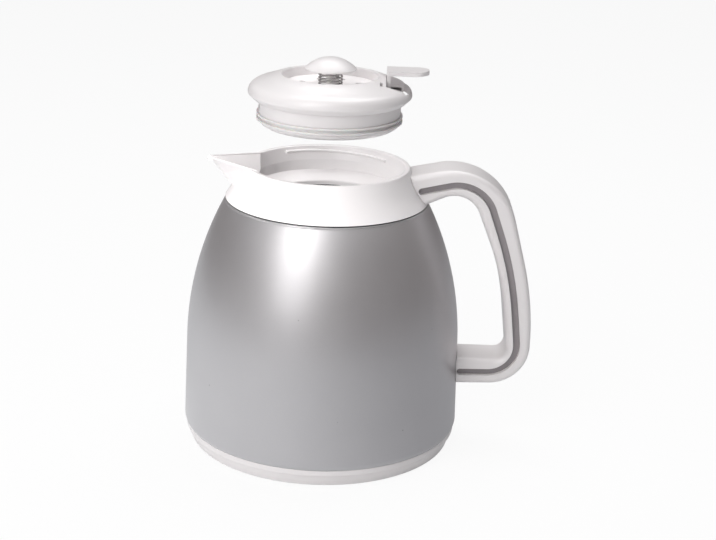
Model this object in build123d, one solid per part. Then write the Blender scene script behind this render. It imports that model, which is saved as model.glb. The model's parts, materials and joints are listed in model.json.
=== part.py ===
from build123d import *
import math
import os

# Vacuum carafe with a lift-off lid that has a thumb lever and a brew-through valve.
# Millimetres, +Z up. The origin is on the body's axis, on the plane that the foot stands on.
# The spout points to -X and the handle to +X. The lid is drawn lifted off, straight above its seat.

# ---------------------------------------------------------------- clearances
seam_gap = 0.15                # between fixed pieces that butt along a curved face
press_clearance = 0.02         # radial, a pin or shank held in its bore
running_clearance = 0.06       # radial, a shaft that moves in its bore
moving_gap = 0.4               # between pieces that move past each other

# ---------------------------------------------------------------- rounds
crisp_round = 0.3              # small moulded edges
soft_round = 0.6               # edges that a hand meets

# ---------------------------------------------------------------- body shell
base_height = 10.2             # standing plane to the shell's lower edge
shell_radius = 76.0            # widest, just above the base
shell_curl = 1.0               # how far the lower edge turns in
shell_curl_height = 2.6
shell_draft = 1.1              # radius lost up to the top of the almost straight side
shell_side_z = 58.7
shell_top_radius = 54.4
shell_top_z = 136.3
shell_wall = 1.0
shell_flange_width = 12.2      # flange under the collar
shell_bead = 0.9               # section radius of the rolled bead round the shell's top

# ---------------------------------------------------------------- collar
collar_seal_height = 0.8       # seal between the shell's flange and the collar
collar_seal_width = 3.2
collar_height = 18.1
collar_overhang = 0.2          # collar's foot past the shell's top
collar_waist_draw = 6.0        # the outside curves in by this up to the waist
collar_rim_draw = 4.6          # waist to the rim
collar_waist_height = 8.5
collar_waist_bend = 60.0
collar_wall = 2.2
rim_width = 2.6
rim_round = 0.9
well_draw = 2.2                # rim's opening to the straight wall that the lid's gasket seals on
well_depth = 13.3              # rim down to the end of that wall
well_height = 5.6
well_wall = 2.2
ledge_fall = 4.7               # slope from the well down to the mouth
ledge_wall = 2.0
ledge_width = 7.6
mouth_lip = 2.3                # straight lip of the mouth below the slope
mouth_wall = 4.4
rail_height = 1.4
rail_drop = 2.5                # rim down to the rail's top
rail_start = 39.0              # degrees round from the handle
rail_sweep = 88.0
rail_tilt = 1.5                # degrees, lower towards the handle

# ---------------------------------------------------------------- spout
spout_length = 20.4            # collar's rim to the tip
spout_tip_half_width = 2.3
spout_tip_rise = 2.0           # tip above the collar's rim
spout_tip_height = 1.9
spout_lip_height = 0.8         # upright part of the lip above the slanted sides
spout_root_inset = 7.4         # rim's opening to the section where the spout meets the well
spout_root_half_width = 21.0
spout_root_depth = 35.4        # rim down to the keel, measured at the root section
spout_wall = 1.5
spout_keel_wall = 3.1
spout_floor = 1.8              # thickness left under the channel's flat floor
spout_floor_rise = 0.8         # channel's flat floor above the end of the well's wall

# ---------------------------------------------------------------- handle
handle_width = 25.0
handle_round = 3.0
groove_width = 3.8
groove_depth = 3.6
inlay_thickness = 1.0
inlay_clearance = 0.08
tongue_z = 143.6
tongue_inset = 0.8             # tongue through the collar's wall, short of the rim's opening
tongue_width = 14.0
tongue_height = 6.0

# ---------------------------------------------------------------- screws
screw_radius = 2.0
screw_length = 15.0            # shank under the head
screw_head_radius = 4.0
screw_head_height = 2.2
screw_slot_width = 1.1
screw_slot_depth = 1.1
plate_height = 18.0            # plate inside the shell under the handle's screw
plate_width = 24.0
plate_inset = 3.0              # plate's inner face inside the shell's side
screw_z = 43.1
collar_screw_margin = 4.6      # flange's inner edge to the screws' middles
collar_screw_count = 3
collar_screw_start = 90.0      # degrees round from the handle
collar_screw_length = 9.0
collar_boss_radius = 3.6
collar_boss_height = 9.6

# ---------------------------------------------------------------- vacuum flask
glass_wall = 1.6
flask_space = 6.4              # shell's side to the flask
flask_floor_z = 15.2
flask_floor_round = 17.0
flask_side_z = 66.7
flask_shoulder_width = 4.0     # neck to the foot of the shoulder
flask_shoulder_z = 118.7
flask_neck_margin = 5.4        # collar's mouth to the neck's outside
flask_neck_height = 4.5        # straight neck under the lip
vacuum_gap = 2.4
flask_lip_height = 1.8
neck_gasket_height = 1.2
neck_gasket_width = 4.0

# ---------------------------------------------------------------- base
base_step_inset = 1.0          # shell's widest line to the upper band
base_step_height = 2.8
base_band_inset = 0.9          # upper band to the lower one
base_band_taper = 1.9          # radius lost down the lower band
base_floor = 3.2
foot_ring_margin = 2.6         # lower band's foot to the rubber ring
foot_ring_width = 5.6
foot_ring_proud = 0.7
foot_ring_sunk = 1.5
spigot_height = 6.0            # stands up inside the shell
spigot_wall = 2.0
cap_flange_gap = 3.0           # rubber ring to the cap's flange
cap_flange_width = 3.0
cap_flange_thickness = 1.4
cap_wall = 2.4
cap_wall_height = 7.0
cap_recess_margin = 12.0
cap_recess_depth = 3.6
cap_floor = 2.4
cap_grip_width = 10.0
cap_grip_margin = 4.0          # grip's end to the recess's wall
cushion_margin = 8.0           # cap's bore to the cushion
cushion_width = 20.0

# ---------------------------------------------------------------- lid cover
lid_travel = 35.3              # seat to the lifted place
seat_gap = 0.3                 # seated cover above the collar's rim
cover_overhang = 2.0           # rim's opening to the lid's widest line
cover_widest_z = -10.6         # lid heights are from its opening's rim
cover_foot_clearance = 1.2     # cover's foot inside the rim's opening
cover_foot_z = -13.6
cover_edge_round = 1.0         # corner at the widest line
cover_lean = 0.5               # how the inside of the back follows the outside at its crown
cover_sink = 0.85
cover_wall = 2.0
cover_crown_inset = 7.4        # widest line to a point that the cover's back passes through
cover_crown_z = -3.7
opening_radius = 25.0
opening_round = 1.2
opening_wall = 2.0
opening_rise = -0.45           # top of the rounded rim, from the zero of the lid's heights
opening_depth = 5.6
cover_lip_width = 2.0
cover_lip_height = 1.2
slot_half_width = 16.0         # opening that the lever comes out of
slot_inner_x = 29.2
slot_wall = 1.0
slot_outer_wall = 1.0
slot_wall_foot_z = -9.6
vent_width = 1.3
vent_length = 5.0
vent_place = (26.7, -15.0)

# ---------------------------------------------------------------- drip dish
dish_thickness = 1.8
dish_fall = 1.1                # edge of the dish down to its spring seat
dish_edge_radius = 24.0
dish_rim_height = 4.0
dish_rim_wall = 0.8
spring_seat_radius = 8.4
dish_boss_radius = 4.6
dish_boss_height = 3.0
drain_count = 8
drain_radius = 1.6
drain_circle = 16.0

# ---------------------------------------------------------------- stopper
stopper_clearance = 1.4        # stopper in the well
stopper_wall = 2.0
stopper_flange_width = 2.5
stopper_flange_thickness = 1.2
stopper_floor_z = -19.2
stopper_floor = 2.0
stopper_bottom_z = -27.5
stopper_bottom_draw = 3.0
skirt_wall = 3.3
stopper_draw = 0.2             # taper of the wall above the gasket
gasket_groove_z = -20.7
gasket_groove_height = 3.9
gasket_groove_depth = 2.4
rib_inset = 0.3                # rib's edge inside the stopper's wall
rib_z = -25.3
rib_fall = 1.1                 # rib's edge down to the taper below it
rib_step = 1.0
lug_width = 8.0
lug_height = 2.2
lug_z = -24.9
lug_angle = 12.0               # degrees round from the handle
pour_slot_half_width = 9.0
pour_slot_height = 4.2
valve_hole_radius = 9.0
spoke_count = 3
spoke_width = 2.4
spoke_start = 60.0             # degrees round from the handle
guide_radius = 4.6
guide_height = 1.4
gasket_play = 0.1              # gasket in its groove
gasket_body_inset = 0.8        # sleeve between the lips, inside the stopper's wall
gasket_lip_height = 1.1

# ---------------------------------------------------------------- push cap and spring
cap_radius = 13.6
cap_rim_z = 2.3
cap_rim_height = 0.7
cap_top_z = 8.7
cap_shell = 1.5
cap_seat_z = 3.0
cap_seat_radius = 7.4
cap_socket_radius = 4.3
cap_socket_z = 0.5
spring_radius = 6.1            # to the middle of the wire
spring_wire_radius = 0.5
spring_turns = 5.0

# ---------------------------------------------------------------- valve
stem_radius = 2.5
stem_top_z = 5.0
stem_tail = 1.2                # stem below the valve disc
stem_shoulder_radius = 4.4
stem_shoulder_thickness = 1.1
valve_disc_radius = 12.4
valve_disc_thickness = 2.2
valve_seal_width = 2.4
valve_seal_height = 1.2
valve_seal_proud = 0.5
valve_gap = 0.2                # closed seal to its seat
valve_seal_margin = 0.5        # disc left outside the seal
clip_play = 0.05
eye_drop = 0.45                # lever's eye to the stem's shoulder at rest
clip_radius = 4.2
clip_thickness = 0.65
clip_groove_radius = 1.7
clip_opening = 2.6

# ---------------------------------------------------------------- lever
pin_x = -24.0
pin_z = -12.6
pin_radius = 1.5
arm_half_width = 4.2
arm_height = 2.8
arm_top_z = -11.1
barrel_radius = 2.9
eye_radius = 6.4
eye_clearance = 0.7
riser_thickness = 2.0
riser_half_width = 6.0
tab_start_x = 29.6
tab_end_x = 51.8
tab_top_z = 3.4
tab_thickness = 2.2
tab_half_width = 7.7
tab_bend_x = 43.0
tab_lift = 0.3                 # upturn of the tab's tip
tab_bend = 14.0
post_thickness = 2.4
post_length = 6.4
post_top_z = -9.9

# ---------------------------------------------------------------- radii that follow
shell_side_radius = shell_radius - shell_draft
plate_face_x = shell_side_radius - plate_inset
flask_radius = shell_side_radius - flask_space
base_step_radius = shell_radius - base_step_inset
base_band_radius = base_step_radius - base_band_inset
base_foot_radius = base_band_radius - base_band_taper
foot_ring_outer = base_foot_radius - foot_ring_margin
foot_ring_inner = foot_ring_outer - foot_ring_width
cap_flange_radius = foot_ring_inner - cap_flange_gap
cap_bore_radius = cap_flange_radius - cap_flange_width
cap_recess_radius = cap_bore_radius - cap_recess_margin
cap_grip_length = 2 * (cap_recess_radius - cap_grip_margin)
cushion_outer = cap_bore_radius - cushion_margin
shell_flange_radius = shell_top_radius - shell_flange_width
collar_screw_circle = shell_flange_radius + collar_screw_margin
collar_foot_radius = shell_top_radius + collar_overhang
collar_waist_radius = collar_foot_radius - collar_waist_draw
collar_rim_radius = collar_waist_radius - collar_rim_draw
rim_opening_radius = collar_rim_radius - rim_width
well_radius = rim_opening_radius - well_draw
mouth_radius = well_radius - ledge_width
spout_reach = collar_rim_radius + spout_length
spout_root_x = rim_opening_radius - spout_root_inset
tongue_end_x = rim_opening_radius + tongue_inset
flask_neck_radius = mouth_radius + flask_neck_margin
flask_shoulder_radius = flask_neck_radius + flask_shoulder_width
cover_radius = rim_opening_radius + cover_overhang
cover_crown_x = cover_radius - cover_crown_inset
cover_foot_radius = rim_opening_radius - cover_foot_clearance
cover_lip_radius = cover_foot_radius - cover_lip_width
stopper_radius = well_radius - stopper_clearance
stopper_flange_radius = stopper_radius + stopper_flange_width
stopper_bottom_radius = stopper_radius - stopper_bottom_draw
skirt_inner_radius = stopper_bottom_radius - skirt_wall
gasket_groove_radius = stopper_radius - gasket_groove_depth
gasket_body_radius = stopper_radius - gasket_body_inset
rib_radius = stopper_radius - rib_inset

# ---------------------------------------------------------------- heights that follow
collar_foot_z = shell_top_z + collar_seal_height
waist_z = collar_foot_z + collar_waist_height
rim_z = collar_foot_z + collar_height
ledge_top_z = rim_z - well_depth
ledge_bottom_z = ledge_top_z - ledge_fall
mouth_bottom_z = ledge_bottom_z - mouth_lip
channel_floor_z = ledge_top_z + spout_floor_rise
nose_x = spout_reach - spout_tip_half_width
flask_top_z = mouth_bottom_z - neck_gasket_height
flask_lip_z = flask_top_z - flask_lip_height
foot_z = foot_ring_proud
cap_top = foot_z + cap_recess_depth + cap_floor
lid_z = rim_z + seat_gap - cover_foot_z + lid_travel

# ---------------------------------------------------------------- handle's lines
handle_outer = [                # outer edge as (x, z, round)
    (collar_rim_radius, 152.7),
    (shell_radius + 16.6, 163.3, 35.5),
    (shell_radius + 38.2, 84.3, 180.0),
    (shell_radius + 38.4, 37.0, 22.0),
    (shell_radius - 10.0, 35.5),
]
handle_inner = [                # inner edge
    (shell_radius - 10.0, 50.7),
    (shell_radius + 26.2, 50.7, 6.0),
    (shell_radius + 20.2, 99.0, 160.0),
    (shell_radius + 0.2, 147.9, 14.4),
    (collar_rim_radius, 133.3),
]
groove_line = [                 # middle of the groove
    (collar_rim_radius + 6.7, 145.2),
    (shell_radius + 7.0, 152.9, 20.4),
    (shell_radius + 26.0, 100.9, 200.0),
    (shell_radius + 32.7, 43.8, 15.6),
    (shell_radius + 0.6, 43.0),
]
os.makedirs("parts", exist_ok=True)


def outline(*corners):
    """Closed outline through (x, z) corners; a third number rounds that corner."""
    points = [(corner[0], corner[1]) for corner in corners]
    rounds = [corner[2] if len(corner) > 2 else 0 for corner in corners]
    return make_face(FilletPolyline(*points, radius=rounds, close=True))


def turn(face):
    """Turn an upright outline about the body's axis."""
    return revolve(Plane.XZ * face, Axis.Z)


def ring(inner, outer, low, high):
    """Plain ring with square corners."""
    return turn(outline((inner, low), (outer, low), (outer, high), (inner, high)))


def block(low, high):
    """Box between two corners."""
    size = [top - bottom for bottom, top in zip(low, high)]
    middle = [(top + bottom) / 2 for bottom, top in zip(low, high)]
    return Pos(*middle) * Box(*size)


def bar_along_y(radius, half_length, x, z):
    """Round bar across the lid."""
    return Pos(x, 0, z) * Rot(90, 0, 0) * Cylinder(radius, 2 * half_length)


def screw(length):
    """Slotted pan-head screw along +Z, with the underside of its head at the origin."""
    shank = Pos(0, 0, length / 2) * Cylinder(screw_radius, length)
    head = Pos(0, 0, -screw_head_height / 2) * Cylinder(screw_head_radius, screw_head_height)
    head = fillet(head.edges().sort_by(Axis.Z)[0], screw_head_height / 3)
    slot = Box(3 * screw_head_radius, screw_slot_width, 2 * screw_slot_depth)
    return shank + head - Pos(0, 0, -screw_head_height) * slot


def save(shape, name):
    """Write one piece of the carafe."""
    shape.label = name
    export_step(shape, f"parts/{name}.step")


def save_lid(shape, name):
    """Write one piece of the lid, which is drawn from its opening's rim, at its lifted place."""
    save(Pos(0, 0, lid_z) * shape, name)


# ---------------------------------------------------------------- body shell
def shell_side(inset, drop):
    """Side of the shell, moved in by inset and ending drop below the shell's top."""
    foot = (shell_radius - shell_curl - inset, base_height)
    curl_top = (shell_radius - inset, base_height + shell_curl_height)
    side = (shell_side_radius - inset, shell_side_z)
    top = (shell_top_radius - inset, shell_top_z - drop)
    straight = Line(curl_top, side)
    curl = TangentArc(curl_top, foot, tangent=(straight % 0) * -1)
    shoulder = TangentArc(side, top, tangent=straight % 1)
    return curl, straight, shoulder


def shell_solid(inset):
    """The shell's outer form as one solid, moved in by inset."""
    curl, straight, shoulder = shell_side(inset, 0)
    top = shoulder @ 1
    foot = curl @ 1
    lid = Line(top, (0, top.Y))
    axis = Line((0, top.Y), (0, foot.Y))
    floor = Line((0, foot.Y), foot)
    return turn(make_face([curl, straight, shoulder, lid, axis, floor]))


def outer_shell():
    outer = shell_side(0, 0)
    inner = shell_side(shell_wall, shell_wall)
    flange_top = (shell_flange_radius, shell_top_z)
    flange_bottom = (shell_flange_radius, shell_top_z - shell_wall)
    flange = Polyline(outer[2] @ 1, flange_top, flange_bottom, inner[2] @ 1)
    edge = Line(outer[0] @ 1, inner[0] @ 1)
    shell = turn(make_face([*outer, *inner, flange, edge]))
    bead_place = (shell_top_radius - shell_bead / 3, shell_top_z - shell_bead)
    shell = shell + turn(Pos(*bead_place) * Circle(shell_bead))
    screw_hole = Cylinder(screw_radius + seam_gap, 4 * shell_wall)
    shell = shell - Pos(shell_side_radius, 0, screw_z) * Rot(0, 90, 0) * screw_hole
    for place in collar_screw_places():
        shell = shell - place * screw_hole
    return shell


def collar_screw_places():
    """Places of the collar's screws, at the underside of the shell's flange."""
    places = []
    for number in range(collar_screw_count):
        angle = collar_screw_start + number * 360 / collar_screw_count
        place = Rot(0, 0, angle) * Pos(collar_screw_circle, 0, shell_top_z - shell_wall)
        places.append(place)
    return places


def collar_screws():
    return Compound([place * screw(collar_screw_length) for place in collar_screw_places()])


# ---------------------------------------------------------------- collar
def collar_radius(z):
    """Radius of the collar's outside at height z, above its waist."""
    slope = (collar_waist_radius - collar_rim_radius) / (rim_z - waist_z)
    return collar_rim_radius + slope * (rim_z - z)


def collar_form(gap):
    """The collar's outside as one solid from the shell up, moved out by gap."""
    foot = collar_foot_radius + gap
    return turn(outline(
        (0, shell_top_z - 2 * shell_bead),
        (foot, shell_top_z - 2 * shell_bead),
        (foot, collar_foot_z),
        (collar_waist_radius + gap, waist_z, collar_waist_bend),
        (collar_rim_radius + gap, rim_z),
        (0, rim_z),
    ))


def well_space(top_z):
    """Room that the lid goes into, from the mouth up past the rim."""
    return turn(outline(
        (0, mouth_bottom_z),
        (mouth_radius, mouth_bottom_z),
        (mouth_radius, ledge_bottom_z),
        (well_radius, ledge_top_z),
        (well_radius, ledge_top_z + well_height),
        (rim_opening_radius, rim_z),
        (rim_opening_radius, top_z),
        (0, top_z),
    ))


def collar_body():
    """Skin, rim, well, sloping ledge and mouth, before the spout and the rail."""
    pocket_top = rim_z - well_depth / 3
    skin = collar_waist_radius - collar_wall
    well_back = well_radius + well_wall
    mouth_back = mouth_radius + mouth_wall
    return turn(outline(
        (rim_opening_radius, rim_z, rim_round),
        (collar_rim_radius, rim_z, rim_round),
        (collar_waist_radius, waist_z, collar_waist_bend),
        (collar_foot_radius, collar_foot_z),
        (collar_foot_radius - collar_wall, collar_foot_z),
        (skin, waist_z, collar_waist_bend),
        (collar_radius(pocket_top) - collar_wall, pocket_top),
        (well_back, pocket_top - ledge_wall),
        (well_back, ledge_top_z - ledge_wall / 2),
        (mouth_back, ledge_bottom_z),
        (mouth_back, mouth_bottom_z),
        (mouth_radius, mouth_bottom_z),
        (mouth_radius, ledge_bottom_z, ledge_wall / 2),
        (well_radius, ledge_top_z),
        (well_radius, ledge_top_z + well_height),
    ))


def v_section(x, half_width, top, lip, depth):
    """Section across the spout: upright lips, then two slanted sides down to the keel."""
    corners = [(-x, -half_width, top), (-x, half_width, top), (-x, half_width, top - lip)]
    corners += [(-x, 0, top - depth), (-x, -half_width, top - lip)]
    return Wire.make_polygon(corners, close=True)


def spout_outside():
    """Solid spout with its rounded nose, kept out of the lid's well."""
    tip_top = rim_z + spout_tip_rise
    tip = v_section(nose_x, spout_tip_half_width, tip_top, spout_lip_height, spout_tip_height)
    root = v_section(spout_root_x, spout_root_half_width, rim_z, spout_lip_height, spout_root_depth)
    body = Solid.make_loft([tip, root], True)
    nose = Cylinder(spout_tip_half_width, spout_tip_height)
    nose = Pos(-nose_x, 0, tip_top - spout_tip_height / 2) * nose
    below = block((-shell_radius, -shell_radius, 0), (0, shell_radius, channel_floor_z - spout_floor))
    return body + nose - below - well_space(tip_top)


def spout_channel():
    """Room that the drink runs through: open at the top, flat where it meets the well."""
    over = spout_tip_rise
    tip_half_width = spout_tip_half_width - spout_wall / 2
    tip_top = rim_z + spout_tip_rise + over
    tip_depth = over + spout_tip_height / 2
    tip_lip = over + spout_lip_height / 2
    root_half_width = spout_root_half_width - spout_wall
    root_depth = over + spout_root_depth - spout_keel_wall
    tip = v_section(nose_x, tip_half_width, tip_top, tip_lip, tip_depth)
    root = v_section(spout_root_x, root_half_width, rim_z + over, over + spout_lip_height, root_depth)
    body = Solid.make_loft([tip, root], True)
    run_out = extrude(Face(tip), 2 * spout_tip_half_width, dir=(-1, 0, 0))
    below = block((-shell_radius, -shell_radius, 0), (0, shell_radius, channel_floor_z))
    return body + run_out - below


def collar_rail():
    """Rib along the back of the well that centres the lid's stopper."""
    top = rim_z - rail_drop
    face = outline(
        (well_radius, top - rail_height, rail_height / 3),
        (rim_opening_radius, top - rail_height),
        (rim_opening_radius, top),
        (well_radius, top, rail_height / 3),
    )
    rail = revolve(Plane.XZ * face, Axis.Z, revolution_arc=rail_sweep)
    return Pos(0, 0, top) * Rot(0, rail_tilt, 0) * Pos(0, 0, -top) * Rot(0, 0, rail_start) * rail


def handle_tongue(gap):
    """Tongue of the handle's top arm, or with a gap the window for it."""
    half_width = tongue_width / 2 + gap
    half_height = tongue_height / 2 + gap
    reach = collar_waist_radius + tongue_height / 2
    low = (tongue_end_x - gap, -half_width, tongue_z - half_height)
    return block(low, (reach, half_width, tongue_z + half_height))


def collar():
    body = collar_body() + spout_outside() - spout_channel() + collar_rail()
    for number in range(collar_screw_count):
        angle = collar_screw_start + number * 360 / collar_screw_count
        boss = Cylinder(collar_boss_radius, collar_boss_height)
        boss_z = shell_top_z + seam_gap + collar_boss_height / 2
        boss = Rot(0, 0, angle) * Pos(collar_screw_circle, 0, boss_z) * boss
        body = body + (boss & collar_form(0))
    for place in collar_screw_places():
        bore = Cylinder(screw_radius + press_clearance, 1.1 * collar_screw_length)
        body = body - place * Pos(0, 0, collar_screw_length / 2) * bore
    return body - handle_tongue(seam_gap)


def collar_seal():
    outer = shell_top_radius - shell_bead / 2
    return ring(outer - collar_seal_width, outer, shell_top_z, collar_foot_z)


# ---------------------------------------------------------------- handle
def groove_face(width):
    """Round-ended slot of the given width along the groove's middle."""
    points = [(corner[0], corner[1]) for corner in groove_line]
    line = FilletPolyline(*points, radius=[corner[2] for corner in groove_line[1:-1]])
    return SlotArc(Wire(line.edges()), width)


def side_layer(face, low, high):
    """Upright face made solid between two places along Y."""
    return Pos(0, high, 0) * extrude(Plane.XZ * face, high - low)


def handle():
    half_width = handle_width / 2
    body = side_layer(outline(*handle_outer, *handle_inner), -half_width, half_width)
    sides = body.faces().sort_by(Axis.Y)
    body = fillet(sides[0].edges() + sides[-1].edges(), handle_round)
    body = body - collar_form(seam_gap) - shell_solid(-seam_gap)
    slot = groove_face(groove_width)
    body = body - side_layer(slot, half_width - groove_depth, half_width)
    body = body - side_layer(slot, -half_width, groove_depth - half_width)
    bore = Cylinder(screw_radius + press_clearance, 2 * screw_length)
    body = body - Pos(plate_face_x, 0, screw_z) * Rot(0, 90, 0) * bore
    return body + handle_tongue(0)


def handle_inlay(side):
    """Strip on the floor of the groove, on one side of the handle."""
    face = groove_face(groove_width - 2 * inlay_clearance)
    floor = handle_width / 2 - groove_depth
    strip = side_layer(face, floor, floor + inlay_thickness)
    return strip if side > 0 else mirror(strip, Plane.XZ)


def handle_screw():
    return Pos(plate_face_x, 0, screw_z) * Rot(0, 90, 0) * screw(screw_length)


def handle_plate():
    low = (plate_face_x, -plate_width / 2, screw_z - plate_height / 2)
    high = (shell_radius, plate_width / 2, screw_z + plate_height / 2)
    plate = block(low, high) & shell_solid(shell_wall + seam_gap)
    hole = Cylinder(screw_radius + seam_gap, 4 * screw_head_height)
    return plate - Pos(plate_face_x, 0, screw_z) * Rot(0, 90, 0) * hole


# ---------------------------------------------------------------- vacuum flask
def flask_side(inset):
    """Flask from the middle of its floor to the top of its neck, moved in by inset."""
    radius = flask_radius - inset
    floor = flask_floor_z + inset
    flat = radius - flask_floor_round
    neck = flask_neck_radius - inset
    neck_z = flask_lip_z - flask_neck_height
    shoulder = (flask_shoulder_radius - inset, flask_shoulder_z - inset)
    base = Line((0, floor), (flat, floor))
    corner = TangentArc((flat, floor), (radius, floor + flask_floor_round), tangent=(1, 0))
    side = Line((radius, floor + flask_floor_round), (radius, flask_side_z))
    rise = TangentArc((radius, flask_side_z), shoulder, tangent=(0, 1))
    turn_up = TangentArc(shoulder, (neck, neck_z), tangent=rise % 1)
    top = Line((neck, neck_z), (neck, flask_lip_z))
    return [base, corner, side, rise, turn_up, top]


def flask_wall(inset):
    """Glass wall between two flask outlines, open at the neck."""
    outer = flask_side(inset)
    inner = flask_side(inset + glass_wall)
    edge = Line(outer[-1] @ 1, inner[-1] @ 1)
    middle = Line(outer[0] @ 0, inner[0] @ 0)
    return turn(make_face([*outer, *inner, edge, middle]))


def flask_inner():
    inset = glass_wall + vacuum_gap
    lip = ring(flask_neck_radius - inset - glass_wall, flask_neck_radius, flask_lip_z, flask_top_z)
    return flask_wall(inset) + lip


def neck_gasket():
    outer = flask_neck_radius - seam_gap
    return ring(outer - neck_gasket_width, outer, flask_top_z, mouth_bottom_z)


# ---------------------------------------------------------------- base
def base_ring():
    spigot = shell_radius - shell_curl - shell_wall - seam_gap
    top = base_height - seam_gap
    inside_z = foot_z + base_floor
    step_z = top - base_step_height
    recess_z = foot_z + cap_flange_thickness + seam_gap
    recess = cap_flange_radius + moving_gap
    body = turn(outline(
        (recess, foot_z),
        (base_foot_radius, foot_z, soft_round),
        (base_band_radius, step_z - (base_step_radius - base_band_radius) / 2),
        (base_step_radius, step_z),
        (base_step_radius, top, crisp_round),
        (spigot, top),
        (spigot, top + spigot_height, crisp_round),
        (spigot - spigot_wall, top + spigot_height),
        (spigot - spigot_wall, inside_z),
        (cap_bore_radius, inside_z),
        (cap_bore_radius, recess_z),
        (recess, recess_z),
    ))
    groove_top = foot_z + foot_ring_sunk
    return body - ring(foot_ring_inner - seam_gap, foot_ring_outer + seam_gap, 0, groove_top)


def foot_ring():
    return ring(foot_ring_inner, foot_ring_outer, 0, foot_z + foot_ring_sunk)


def base_cap():
    wall = cap_bore_radius - seam_gap
    flange_top = foot_z + cap_flange_thickness
    recess_z = foot_z + cap_recess_depth
    body = turn(outline(
        (0, recess_z),
        (cap_recess_radius, recess_z, soft_round),
        (cap_recess_radius, foot_z),
        (cap_flange_radius, foot_z, crisp_round),
        (cap_flange_radius, flange_top),
        (wall, flange_top),
        (wall, flange_top + cap_wall_height),
        (wall - cap_wall, flange_top + cap_wall_height),
        (wall - cap_wall, cap_top),
        (0, cap_top),
    ))
    grip = block(
        (-cap_grip_length / 2, -cap_grip_width / 2, foot_z + seam_gap),
        (cap_grip_length / 2, cap_grip_width / 2, recess_z + cap_floor / 2),
    )
    return body + grip


def base_cushion():
    return ring(cushion_outer - cushion_width, cushion_outer, cap_top, flask_floor_z)


# ---------------------------------------------------------------- lid
def cover_back(inset):
    """Back of the cover from the opening out to its widest line, moved in by inset."""
    lean = (opening_wall - opening_round) / cover_wall
    start = (opening_radius + opening_round + inset * lean, opening_rise - inset)
    crown = (cover_crown_x - inset * cover_lean, cover_crown_z - inset * cover_sink)
    widest = (cover_radius - inset, cover_widest_z)
    return Spline(start, crown, widest, tangents=[(1, -0.2), (0, -1)])


def cover_form():
    """The cover's back as one solid down to its widest line."""
    back = cover_back(0)
    top = (0, (back @ 0).Y)
    edge = Polyline(back @ 1, (0, cover_widest_z), top, back @ 0)
    return turn(make_face([back, edge]))


def slot_frame():
    """Walls round the lever's slot, under the cover."""
    outside = slot_half_width + slot_wall
    frame = block((slot_inner_x - slot_wall, -outside, slot_wall_foot_z), (cover_radius, outside, 0))
    return frame & cover_form() & ring(0, cover_radius - slot_outer_wall / 2, slot_wall_foot_z, 0)


def lid_cover():
    back = cover_back(0)
    inside = cover_back(cover_wall)
    lip_z = cover_foot_z + cover_lip_height
    widest_inside = inside @ 1
    opening_top = (opening_radius, (back @ 0).Y - opening_round)
    foot = (cover_foot_radius, cover_foot_z)
    edges = [
        back,
        Polyline(back @ 1, foot, (cover_lip_radius, cover_foot_z), (cover_lip_radius, lip_z),
                 (widest_inside.X - seam_gap, lip_z), widest_inside),
        inside,
        Polyline(inside @ 0, ((inside @ 0).X, -opening_depth),
                 (opening_radius, -opening_depth), opening_top),
        TangentArc(opening_top, back @ 0, tangent=(0, 1)),
    ]
    cover = turn(make_face(edges))
    widest_edge = cover.edges().filter_by(GeomType.CIRCLE).sort_by(SortBy.RADIUS)[-1]
    cover = fillet(widest_edge, cover_edge_round)
    slot = block((slot_inner_x, -slot_half_width, lip_z), (cover_radius, slot_half_width, tab_top_z))
    slot = slot & ring(0, cover_radius - slot_outer_wall, lip_z, tab_top_z)
    vent = Pos(*vent_place, 0) * Box(vent_width, vent_length, 4 * opening_depth)
    return cover + slot_frame() - slot - vent


def drip_dish():
    rim_inner = opening_radius + opening_wall + inlay_clearance
    rim_outer = rim_inner + dish_rim_wall
    top = -opening_depth
    seat = top - dish_fall
    low = top - dish_thickness
    bore = stem_radius + running_clearance
    dish = turn(outline(
        (bore, seat - dish_thickness),
        (spring_seat_radius, seat - dish_thickness),
        (dish_edge_radius, low),
        (rim_outer, low, crisp_round),
        (rim_outer, low + dish_rim_height),
        (rim_inner, low + dish_rim_height),
        (rim_inner, top),
        (dish_edge_radius, top),
        (spring_seat_radius, seat),
        (dish_boss_radius, seat),
        (dish_boss_radius, seat + dish_boss_height, crisp_round),
        (bore, seat + dish_boss_height),
    ))
    for number in range(drain_count):
        angle = (number + 0.5) * 360 / drain_count
        drain = Pos(drain_circle, 0, seat) * Cylinder(drain_radius, 4 * dish_thickness)
        dish = dish - Rot(0, 0, angle) * drain
    return dish


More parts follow.
